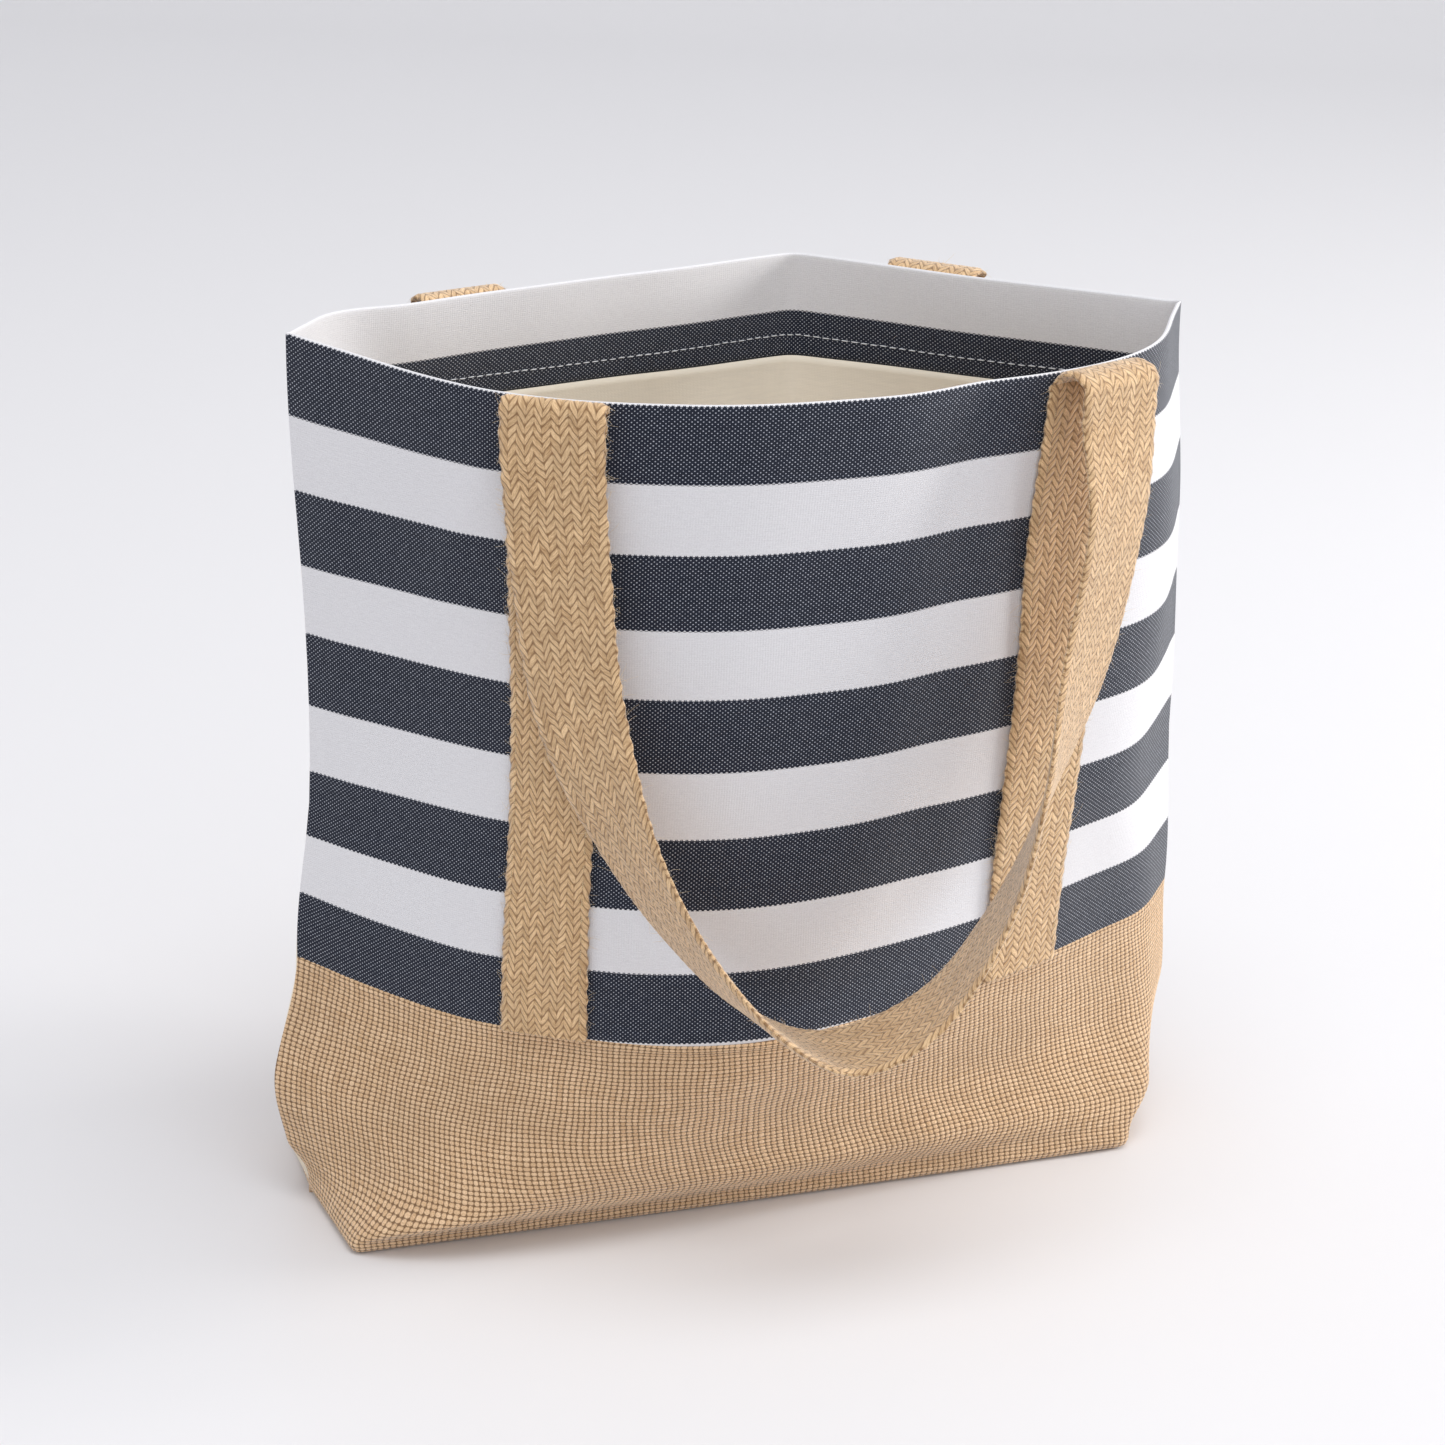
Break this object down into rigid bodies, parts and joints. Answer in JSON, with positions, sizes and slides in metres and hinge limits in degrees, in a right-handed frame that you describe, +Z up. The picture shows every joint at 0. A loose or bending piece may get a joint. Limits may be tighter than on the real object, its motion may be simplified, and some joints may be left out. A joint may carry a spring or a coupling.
{
  "type": "beach bag",
  "caption": "Open-topped beach tote of striped canvas with a boxed jute base, an inner lining and long webbing handles folded over the rim that hang down or swing up to carry.",
  "frame": {"origin": "centre of the flat base, on the floor the bag stands on", "axes": "+Z up, -Y towards the front wall, +X to the right of someone looking at the front"},
  "size_m": [0.405, 0.308, 0.3682],
  "materials": {
    "striped_canvas": "navy and white striped cotton canvas, matt",
    "jute_burlap": "open plain-woven golden jute, matt and hairy",
    "calico_lining": "plain cream cotton, matt",
    "jute_webbing": "braided golden jute webbing, matt and hairy",
    "canvas_seam_allowance": "raw inside edge of the striped canvas, matt",
    "calico_seam_allowance": "raw edge of the cotton lining, matt",
    "jute_seam_allowance": "raw edge of the jute base, matt",
    "white_thread": "white cotton sewing thread",
    "jute_thread": "tan sewing thread"
  },
  "bodies": {
    "bag": {"jute_base": "jute_burlap", "front_panel": "striped_canvas", "back_panel": "striped_canvas", "front_lining": "calico_lining", "back_lining": "calico_lining", "front_base_seam": "canvas_seam_allowance", "back_base_seam": "canvas_seam_allowance", "front_left_strap": "jute_webbing", "front_right_strap": "jute_webbing", "back_left_strap": "jute_webbing", "back_right_strap": "jute_webbing", "left_side_seam": "canvas_seam_allowance", "right_side_seam": "canvas_seam_allowance", "left_lining_seam": "calico_seam_allowance", "right_lining_seam": "calico_seam_allowance", "left_corner_seam": "jute_seam_allowance", "right_corner_seam": "jute_seam_allowance", "lining_floor_seam": "calico_seam_allowance", "hem_stitching": "white_thread", "strap_stitching": "jute_thread"},
    "front_handle": {"front_handle": "jute_webbing"},
    "back_handle": {"back_handle": "jute_webbing"}
  },
  "joints": [
    {"name": "front_handle_swing", "type": "hinge", "parent": "bag", "child": "front_handle", "pos_m": [0, -0.0915, 0.3695], "axis": [-1, 0, 0], "range_deg": [0, 180]},
    {"name": "back_handle_swing", "type": "hinge", "parent": "bag", "child": "back_handle", "pos_m": [0, 0.078, 0.3695], "axis": [1, 0, 0], "range_deg": [0, 180]}
  ]
}
